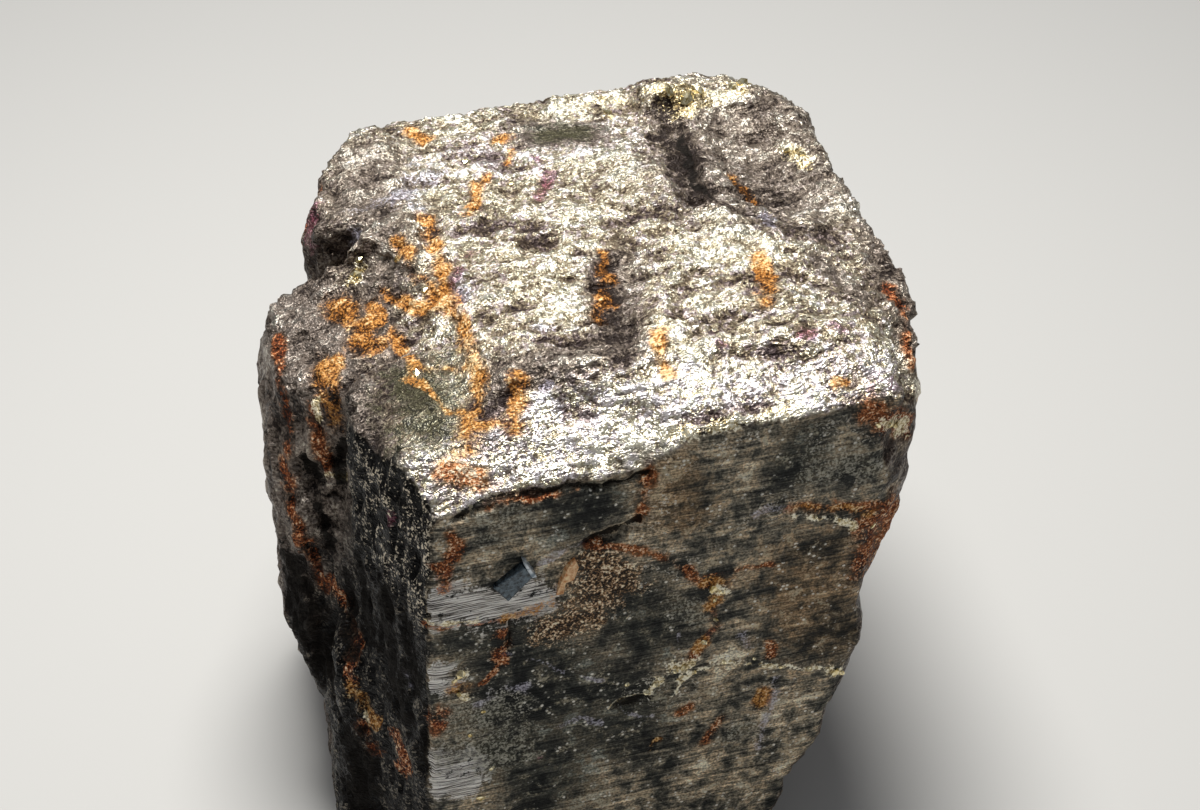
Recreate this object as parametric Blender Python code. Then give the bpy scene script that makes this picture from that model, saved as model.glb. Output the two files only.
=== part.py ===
"""A rough block of metallic meteorite, broken out along flat fractures.

One piece of stone. It is roughed out as a mason would do it: plane-cut blocks that grow together
(the body, an overhanging corner on the right, two slabs and a shoulder on the left), chips knocked
out of them, and then the relief of each broken face: ribs and ledges on the left, lumps, a groove
and a bowl on the crown, fine steps on the cleaved front. The underside is flat.

Metres, +Z up. X runs along the front face, Y goes back into the block, and the origin is the
middle of the underside.
"""

from math import pi, sin

import bmesh
import bpy
from mathutils import Vector, noise

MM = 0.001

# The noise vectors that bend the ridges and grooves start from this seed, so each run is the same.
NOISE_SEED = 1795479423
noise.seed_set(NOISE_SEED)

# The driving dimensions, in millimetres. While the block is shaped, the datum is the middle of the
# front face's top edge, so the underside lies at -FRONT_HEIGHT.
FRONT_HEIGHT = 121.0
CROWN_RISE = 6.5
DEPTH = 109.0
LEFT_SIDE = -55.0
RIGHT_SIDE = 51.5
SLAB_REACH = -69.5
OVERHANG_DROP = 46.0

STONE_COLOUR = (0.105, 0.088, 0.070, 1.0)
STONE_ROUGHNESS = 0.45
STONE_METALLIC = 0.35

# How the mesh is made: a rough cube to cut from, an even net for the relief, then fewer faces.
ROUGH_SIZE = 400.0
NET_SIZE = 1.5
FACE_BUDGET = 9000
SAWN_OFF = 0.6

# Each fracture plane is a point on it and its outward normal. A block is what its planes leave.
UNDERSIDE = ((0, 0, -FRONT_HEIGHT), (0, 0, -1))
BACK_RIGHT_CORNER = ((44.5, 97.5, 0), (0.75, 0.65, -0.15))
RIGHT = ((RIGHT_SIDE, 60, 0), (0.99, -0.01, -0.08))
BODY = {
    "front cleavage": ((0, 0, 0), (0, -1, 0)),
    "ridged side": ((-47.5, 0, -15), (-0.94, -0.33, 0.05)),
    "left": ((LEFT_SIDE, 40, 0), (-1, 0, 0.03)),
    "back left corner": ((-50, 89, 0), (-0.79, 0.61, -0.06)),
    "back": ((0, DEPTH, 0), (0.03, 0.99, -0.13)),
    "back right corner": BACK_RIGHT_CORNER,
    "right": RIGHT,
    "right front": ((35, 0, -60), (0.968, -0.242, -0.06)),
    "lower right corner": ((33.5, 0, -78), (0.92, -0.12, -0.345)),
    "crown": ((0, 30, CROWN_RISE), (-0.01, 0.09, 0.996)),
    "crown right": ((30, 40, 5.5), (0.2, 0.05, 0.98)),
    "crown left": ((-32, 50, 4), (-0.22, 0.10, 0.97)),
    "brow": ((10, 0, 0.8), (0, -0.42, 0.91)),
    "underside": UNDERSIDE,
}
OVERHANG = {
    "front": ((0, 0.4, 0), (0, -1, 0)),
    "front corner": ((36, 0, -20), (0.60, -0.80, 0)),
    "right front": ((46.5, 8, -3), (0.98, -0.17, -0.12)),
    "right": RIGHT,
    "back right corner": BACK_RIGHT_CORNER,
    "back": ((0, DEPTH - 3, 0), (0, 0.99, -0.10)),
    "under": ((40, 10, -OVERHANG_DROP), (0.30, -0.10, -0.95)),
    "inner": ((20, 0, 0), (-1, 0, 0)),
    "crown right": ((30, 40, 5.0), (0.18, 0.05, 0.98)),
    "brow right": ((30, 0, -3), (0.33, -0.48, 0.81)),
}
SLAB = {
    "outer": ((SLAB_REACH, 50, -40), (-0.99, 0.115, 0.0)),
    "outer top": ((-68.3, 50, -22), (-0.97, 0.11, 0.20)),
    "front": ((-57, 33, -30), (-0.74, -0.66, 0.12)),
    "lower": ((-71, 45, -68), (-0.95, 0.0, -0.30)),
    "bottom": ((-64, 45, -96), (-0.30, -0.10, -0.95)),
    "top": ((-62, 62, 0.5), (-0.50, -0.05, 0.86)),
    "crest": ((-52, 60, 3.0), (-0.10, 0.08, 0.98)),
    "back": ((-60, 76, -20), (-0.25, 0.96, 0.10)),
    "inner": ((-35, 50, 0), (1, 0, 0)),
}
FOOT_SLAB = {
    "outer": ((-64.5, 30, -95), (-0.985, 0.10, 0.06)),
    "front": ((-57, 17, -80), (-0.66, -0.74, 0.10)),
    "top": ((-60, 22, -66), (-0.45, -0.35, 0.82)),
    "back": ((-58, 80, -100), (-0.40, 0.91, 0)),
    "inner": ((-44, 50, 0), (1, 0, 0)),
    "underside": UNDERSIDE,
}
SHOULDER = {
    "left": ((-51.5, 80, 0), (-0.99, 0.10, 0.08)),
    "front": ((-50, 74, -10), (-0.30, -0.95, 0)),
    "back left corner": ((-50.5, 92, 0), (-0.79, 0.61, 0)),
    "back": ((0, DEPTH - 3, 0), (0, 1, 0)),
    "under": ((-50, 85, -30), (-0.4, 0, -0.92)),
    "inner": ((-34, 50, 0), (1, 0, 0)),
    "top": ((-42, 92, 1.0), (-0.15, 0.05, 0.98)),
}

# A chip is the wedge that was knocked out: the space inside its planes.
CHIPS = {
    "brow_chip": {
        "bed": ((-20, 0, -7), (0.05, 0.66, -0.75)),
        "right ramp": ((4, 0, 0.4), (0.31, 0.63, -0.71)),
        "back": ((0, 40, 0), (0, 1, 0)),
    },
    "olive_facet": {
        "bed": ((-43, 22, -0.5), (0.30, 0.10, -0.95)),
        "right ramp": ((-38.5, 24, -0.5), (0.66, 0.12, -0.74)),
        "back": ((-40, 36, 0), (0.2, 0.98, 0)),
        "front": ((-40, 9, 0), (-0.3, -0.95, 0)),
    },
    "left_step": {
        "bed": ((-46, 50, -4), (0.35, 0.05, -0.93)),
        "right ramp": ((-42.5, 50, -3), (0.66, 0.10, -0.74)),
        "back": ((-45, 66, 0), (0.2, 0.98, 0)),
        "front": ((-45, 33, 0), (-0.1, -0.95, -0.2)),
    },
    "left_notch": {
        "right end": ((-48, 72, -12), (0.93, 0.1, -0.35)),
        "front": ((-60, 70, -12), (0.1, -0.95, -0.25)),
        "back": ((-60, 78, -12), (0.2, 0.95, 0.2)),
        "bed": ((-58, 72, -19), (0.2, 0, -0.98)),
    },
    "crown_recess": {
        "left end": ((-8, 88, 0), (-0.96, -0.1, -0.2)),
        "right end": ((7, 86, 0), (0.96, 0.05, -0.25)),
        "front": ((0, 82, 3), (0, -0.85, -0.53)),
        "back": ((0, 93, 3), (0, 0.97, -0.2)),
        "bed": ((0, 88, 1.0), (0, 0.10, -0.99)),
    },
    "back_spall": {
        "face": ((-8, 99, -60), (-0.25, -0.96, 0.06)),
        "ceiling": ((20, 100, -38), (0.15, -0.50, 0.85)),
    },
    "right_spall": {
        "face": ((41, 60, -70), (-0.96, -0.05, 0.28)),
        "front": ((45, 42, -60), (-0.35, -0.93, 0)),
        "ceiling": ((45, 60, -64), (-0.3, 0.10, 0.95)),
    },
}

# Ridges (+) and grooves (-): a line from start to end, how wide it is each side, and its height.
STROKES = {
    "crown groove": ((22, 92, 4), (19.5, 60, 5), 4.5, -4.5),
    "crown bowl": ((36, 82, 4), (36, 62, 4), 15.0, -4.0),
    "groove lip": ((16, 88, 5), (14, 60, 6), 5.0, 1.2),
    "gold lump": ((20, 98, 4), (31, 96, 4), 6.0, 2.6),
    "pimple": ((41, 98, 2), (42, 97, 2), 3.0, 1.4),
    "corner rim": ((40, 96, 1), (46, 88, 1), 9.0, 2.6),
    "far rim": ((47, 80, 2), (48, 64, 2), 5.5, 1.6),
    "valley": ((0, 42, 6), (-8, 20, 6), 4.0, -1.8),
    "valley bank": ((7, 40, 6), (0, 20, 6), 5.0, 1.0),
    "rust cleft": ((-32, 68, 4), (-37, 14, 3), 2.6, -1.2),
    "brow lip": ((-22, 15, 4), (0, 17, 6), 3.0, 1.0),
    "under lip": ((-20, 20, 5), (2, 21, 6), 3.0, -1.2),
    "side rib 1": ((-52, 14, -12), (-53, 16, -62), 2.6, 1.1),
    "side rib 2": ((-55.5, 24, -10), (-57, 26, -70), 3.0, 1.3),
    "side cleft": ((-58, 33, -6), (-60, 35, -66), 3.2, -2.2),
    "slab ledge": ((-62, 38, -16), (-64.5, 40, -52), 3.4, 1.8),
    "slab cleft": ((-66, 45, -12), (-68, 46, -44), 2.8, -1.8),
    "slab hole": ((-62.5, 39, -28), (-63, 39, -33), 3.2, -3.0),
    "slab spur": ((-66, 42, -40), (-61, 36, -64), 3.0, 1.6),
    "foot hollow": ((-66, 36, -52), (-63, 32, -72), 7.0, -2.2),
    "shoulder rib 1": ((-52, 84, 2), (-52, 84, -24), 3.0, 1.2),
    "shoulder cleft": ((-51, 91, 2), (-51, 91, -24), 2.6, -1.6),
    "shoulder crest": ((-46, 80, 1), (-43, 96, 1), 3.2, 0.9),
    "front panel joint": ((-8, 0, -6), (-8, 0, -17), 1.8, -0.9),
    "front crack": ((-8.5, 0, -18), (-19, 0, -21), 2.0, -1.3),
    "right cavity": ((37, 0, -33), (41, 2, -40), 2.6, -1.2),
    "foot cavity": ((-49, 0, -90), (-46, 0, -91), 2.6, -1.8),
    "right rim": ((44, 6, -2), (51, 40, -1), 3.5, 0.8),
}

# The relief that fills a whole face, in millimetres: how high, and how far apart.
CLEAVAGE_SWELL = 0.25
CROWN_LUMP = 1.2
LUMP_SPACING = 15.0
CROWN_RIPPLE = 0.5
RIPPLE_SPACING = 8.0
RIB_HEIGHT = 1.0
RIB_SPACING = 6.0
LEDGE_HEIGHT = 1.0
LEDGE_SPACING = 17.0
FRACTURE_SIZE = 15.0
FRACTURE_TILT = 4.0
WEAR = 0.3
UNDERSIDE_MARGIN = 5.0


def cut_block(name, planes):
    """The convex block that a set of fracture planes leaves."""
    block = bmesh.new()
    bmesh.ops.create_cube(block, size=ROUGH_SIZE * MM)
    for point, outward in planes.values():
        cut = bmesh.ops.bisect_plane(
            block,
            geom=block.verts[:] + block.edges[:] + block.faces[:],
            dist=1e-7,
            plane_co=Vector(point) * MM,
            plane_no=Vector(outward).normalized(),
            clear_outer=True,
        )
        rim = [part for part in cut["geom_cut"] if isinstance(part, bmesh.types.BMEdge)]
        bmesh.ops.contextual_create(block, geom=rim)
    bmesh.ops.recalc_face_normals(block, faces=block.faces)
    mesh = bpy.data.meshes.new(name)
    block.to_mesh(mesh)
    block.free()
    shape = bpy.data.objects.new(name, mesh)
    bpy.context.scene.collection.objects.link(shape)
    shape.display_type = "WIRE"
    shape.hide_render = True
    return shape


def rough_out():
    """All blocks grown together and all chips knocked out, as one even net of faces."""
    body = cut_block("body", BODY)
    growths = {"overhang": OVERHANG, "slab": SLAB, "foot_slab": FOOT_SLAB, "shoulder": SHOULDER}
    tools = []
    for operation, shapes in (("UNION", growths), ("DIFFERENCE", CHIPS)):
        for name, planes in shapes.items():
            tool = cut_block(name, planes)
            boolean = body.modifiers.new(name, "BOOLEAN")
            boolean.operation = operation
            boolean.solver = "EXACT"
            boolean.object = tool
            tools.append(tool)
    net = body.modifiers.new("net", "REMESH")
    net.mode = "VOXEL"
    net.voxel_size = NET_SIZE * MM
    evaluated = body.evaluated_get(bpy.context.evaluated_depsgraph_get())
    mesh = bpy.data.meshes.new_from_object(evaluated)
    for shape in tools + [body]:
        bpy.data.objects.remove(shape)
    return mesh


def ease(value, low, high):
    """0 below low and 1 above high, with a smooth change between."""
    part = min(max((value - low) / (high - low), 0.0), 1.0)
    return part * part * (3.0 - 2.0 * part)


def stroke_height(point):
    """The summed height of the named ridges and grooves at a point."""
    total = 0.0
    point = point + 1.6 * noise.noise_vector(point / 8.0)
    for start, end, width, height in STROKES.values():
        start, end = Vector(start), Vector(end)
        along = end - start
        part = min(max((point - start).dot(along) / along.length_squared, 0.0), 1.0)
        away = (point - start - along * part).length
        total += height * (1.0 - ease(away, 0.15 * width, width))
    return total


def crown_relief(point):
    """Lumps all over, and wavy foliation across the middle."""
    lumps = CROWN_LUMP * noise.fractal(point / LUMP_SPACING, 0.9, 2.1, 3)
    wander = 7.0 * noise.noise(point / 16.0)
    patchy = 0.5 + noise.noise(point / 13.0 + Vector((4.0, 9.0, 2.0)))
    waves = sin(2.0 * pi * (point.y + wander) / RIPPLE_SPACING) * patchy
    across = ease(point.y, 18.0, 28.0) * (1.0 - ease(point.y, 62.0, 74.0))
    return lumps + CROWN_RIPPLE * waves * across


def rib_relief(point):
    """Upright splinters: quick across the face and slow up it."""
    stretched = Vector((point.x / RIB_SPACING, point.y / RIB_SPACING, point.z / (5.0 * RIB_SPACING)))
    ribs = 1.0 - 2.0 * abs(noise.noise(stretched))
    return RIB_HEIGHT * (ribs - 0.5 + 0.6 * noise.fractal(point / 12.0, 1.0, 2.0, 2))


def ledge_relief(point):
    """Broken rock: level ledges with short risers between them."""
    level = 2.6 * noise.fractal(point / LEDGE_SPACING + Vector((7.0, 3.0, 1.0)), 1.0, 2.0, 2)
    base = level // 1.0
    return LEDGE_HEIGHT * (base + ease(level - base, 0.35, 0.65))


def fracture_relief(point):
    """Small fracture faces, each tilted its own way, with a step where two of them meet."""
    place = point / FRACTURE_SIZE
    middle = noise.voronoi(place)[1][0]
    lean = noise.cell_vector(9.0 * middle) - Vector((0.5, 0.5, 0.5))
    return FRACTURE_TILT * (place - middle).dot(lean)


def front_relief(point):
    """The cleaved front is nearly flat, with faint level steps."""
    swell = noise.noise(Vector((point.x / 26.0, 0.0, (point.z - 0.12 * point.x) / 11.0)))
    return CLEAVAGE_SWELL * swell


def relief(point, outward):
    """How far the surface moves along its normal, by which way the face looks."""
    up = ease(outward.z, 0.45, 0.75)
    front = ease(-outward.y, 0.80, 0.97)
    left = ease(-outward.x, 0.35, 0.65) * (1.0 - up)
    rest = max(1.0 - up - front - left, 0.0)
    height = up * crown_relief(point) + front * front_relief(point)
    height += left * rib_relief(point) + rest * ledge_relief(point)
    height += (0.4 * left + rest) * fracture_relief(point)
    return height + stroke_height(point)


def weather(mesh):
    """Move the net by its relief, but leave the underside flat."""
    net = bmesh.new()
    net.from_mesh(mesh)
    net.normal_update()
    moves = []
    for vert in net.verts:
        point = vert.co / MM
        free = ease(point.z + FRONT_HEIGHT, 0.0, UNDERSIDE_MARGIN)
        moves.append(vert.normal * relief(point, vert.normal) * free * MM)
    for vert, move in zip(net.verts, moves):
        vert.co += move
    bmesh.ops.smooth_vert(
        net, verts=net.verts, factor=WEAR, use_axis_x=True, use_axis_y=True, use_axis_z=True
    )
    net.to_mesh(mesh)
    net.free()


def thin_out(stone):
    """Fewer faces where the stone is flat, as many as it needs where it is rough."""
    faces = sum(len(face.vertices) - 2 for face in stone.data.polygons)
    fewer = stone.modifiers.new("fewer faces", "DECIMATE")
    fewer.ratio = FACE_BUDGET / faces
    fewer.use_collapse_triangulate = True
    evaluated = stone.evaluated_get(bpy.context.evaluated_depsgraph_get())
    thinned = bpy.data.meshes.new_from_object(evaluated)
    stone.modifiers.clear()
    stone.data = thinned


def set_down(mesh):
    """Saw the underside flat, and put the middle of it at the origin."""
    solid = bmesh.new()
    solid.from_mesh(mesh)
    cut = bmesh.ops.bisect_plane(
        solid,
        geom=solid.verts[:] + solid.edges[:] + solid.faces[:],
        dist=1e-6,
        plane_co=(0, 0, (SAWN_OFF - FRONT_HEIGHT) * MM),
        plane_no=(0, 0, -1),
        clear_outer=True,
    )
    rim = [part for part in cut["geom_cut"] if isinstance(part, bmesh.types.BMEdge)]
    bmesh.ops.edgeloop_fill(solid, edges=rim)
    bmesh.ops.recalc_face_normals(solid, faces=solid.faces)
    bmesh.ops.triangulate(solid, faces=solid.faces)
    middle = []
    for axis in (0, 1):
        places = [vert.co[axis] for vert in solid.verts]
        middle.append((min(places) + max(places)) / 2.0)
    floor = min(vert.co.z for vert in solid.verts)
    shift = -Vector((middle[0], middle[1], floor))
    bmesh.ops.translate(solid, verts=solid.verts, vec=shift)
    print("datum of the front edge, mm:", [round(place / MM, 2) for place in shift])
    solid.to_mesh(mesh)
    solid.free()


def stone_material():
    """Dark iron-grey stone with a dull metallic gleam."""
    material = bpy.data.materials.new("dark_metallic_stone")
    material.use_nodes = True
    shader = material.node_tree.nodes["Principled BSDF"]
    shader.inputs["Base Color"].default_value = STONE_COLOUR
    shader.inputs["Roughness"].default_value = STONE_ROUGHNESS
    shader.inputs["Metallic"].default_value = STONE_METALLIC
    return material


def main():
    for old in list(bpy.data.objects):
        bpy.data.objects.remove(old)
    mesh = rough_out()
    weather(mesh)
    stone = bpy.data.objects.new("meteorite", mesh)
    bpy.context.scene.collection.objects.link(stone)
    thin_out(stone)
    set_down(stone.data)
    stone.data.name = "meteorite"
    stone.data.materials.clear()
    stone.data.materials.append(stone_material())


main()
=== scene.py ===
from math import cos, pi, radians, sin

import bmesh
import bpy
import numpy as np
from mathutils import Matrix, Vector, noise
from mathutils.bvhtree import BVHTree


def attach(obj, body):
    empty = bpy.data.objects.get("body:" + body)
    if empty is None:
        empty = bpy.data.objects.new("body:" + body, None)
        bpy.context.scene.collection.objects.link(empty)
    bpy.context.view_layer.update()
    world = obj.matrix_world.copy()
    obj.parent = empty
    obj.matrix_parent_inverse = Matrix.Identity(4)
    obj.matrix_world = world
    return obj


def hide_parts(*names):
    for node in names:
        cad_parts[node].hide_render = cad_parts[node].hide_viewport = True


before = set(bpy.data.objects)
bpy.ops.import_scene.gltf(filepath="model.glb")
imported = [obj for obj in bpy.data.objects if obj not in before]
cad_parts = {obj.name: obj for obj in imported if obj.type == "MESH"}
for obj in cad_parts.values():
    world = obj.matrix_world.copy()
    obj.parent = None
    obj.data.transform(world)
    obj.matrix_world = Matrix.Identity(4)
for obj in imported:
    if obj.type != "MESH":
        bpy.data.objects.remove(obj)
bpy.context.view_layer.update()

scene = bpy.context.scene
mm = 0.001
noise.seed_set(5)       # without it the noise vectors would start from the clock

# Places on the stone are in millimetres from the middle of the front face's top edge:
# x to the right along the front, y back into the stone, z up.
frontEdge = Vector((9.1, -54.68, 120.4))

# settings that many nodes share
multiply = {"operation": "MULTIPLY"}
greatest = {"operation": "MAXIMUM"}
smoothStep = {"interpolation_type": "SMOOTHSTEP"}
colourMix = {"data_type": "RGBA", "out": 2}
tintMix = {"data_type": "RGBA", "blend_type": "MULTIPLY", "out": 2}


def linearColour(hexCode):
    parts = [int(hexCode[i:i + 2], 16) / 255.0 for i in (1, 3, 5)]
    return tuple(c / 12.92 if c <= 0.04045 else ((c + 0.055) / 1.055) ** 2.4 for c in parts) + (1.0,)


def addNode(tree, kind, inputs, out=0, stops=(), **settings):
    # inputs go by socket, or in their order; stops are the places and colours of a ramp
    made = tree.nodes.new("ShaderNode" + kind)
    for name, value in settings.items():
        setattr(made, name, value)
    for socket, source in inputs.items() if isinstance(inputs, dict) else enumerate(inputs):
        if isinstance(source, bpy.types.NodeSocket):
            tree.links.new(source, made.inputs[socket])
        else:
            made.inputs[socket].default_value = source
    if stops:
        colours = made.color_ramp.elements
        while len(colours) < len(stops):
            colours.new(0.5)
        for stop, (place, code) in zip(colours, stops):
            stop.position = place
            stop.color = linearColour(code)
    return made if out is None else made.outputs[out]


def ease(value, low, high):
    part = np.clip((value - low) / (high - low), 0.0, 1.0)
    return part * part * (3.0 - 2.0 * part)


def meshFrom(name, net):
    mesh = bpy.data.meshes.new(name)
    net.to_mesh(mesh)
    net.free()
    return mesh


def newMaterial(name):
    material = bpy.data.materials.new(name)
    material.use_nodes = True
    return material, material.node_tree


def newPiece(name, mesh, material):
    piece = bpy.data.objects.new(name, mesh)
    scene.collection.objects.link(piece)
    mesh.materials.clear()
    mesh.materials.append(material)
    return piece


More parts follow.
